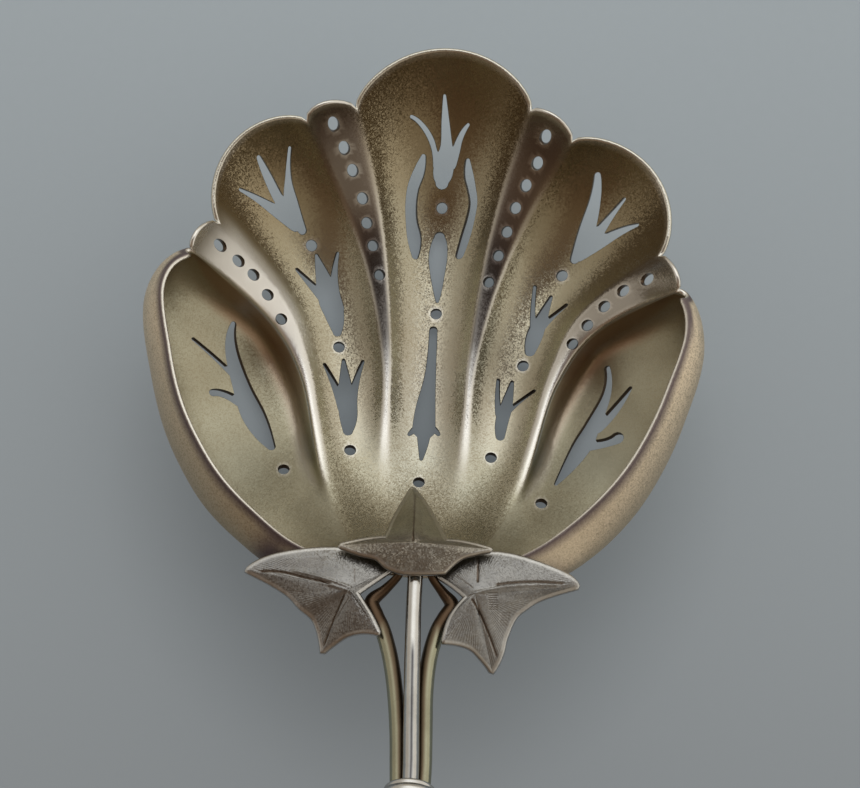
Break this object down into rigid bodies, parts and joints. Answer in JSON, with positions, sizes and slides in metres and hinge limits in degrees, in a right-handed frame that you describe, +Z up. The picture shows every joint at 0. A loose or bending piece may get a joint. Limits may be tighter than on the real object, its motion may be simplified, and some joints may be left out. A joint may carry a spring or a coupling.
{
  "type": "sugar sifter ladle",
  "caption": "Pierced scallop-shell bowl for sifting sugar, carried by ivy leaves and three wire stems that twist together into an arched handle.",
  "frame": {"origin": "on the table, under the middle of the box that holds the ladle at rest", "axes": "+Y from the handle's end to the bowl's far rim, +X to the right, +Z up"},
  "size_m": [0.0593, 0.1795, 0.029],
  "materials": {
    "frosted_gilt": "matte gilt on silver, grained, with a bright polished rim",
    "frosted_silver": "matte cast silver with engraved veins",
    "polished_silver": "polished silver, slightly toned"
  },
  "bodies": {
    "root": {"bowl": "frosted_gilt", "centre_leaf": "frosted_silver", "left_leaf": "frosted_silver", "right_leaf": "frosted_silver", "centre_stem": "polished_silver", "left_stem": "polished_silver", "right_stem": "polished_silver", "stem_collar": "polished_silver", "handle_end_cap": "polished_silver"}
  },
  "joints": []
}
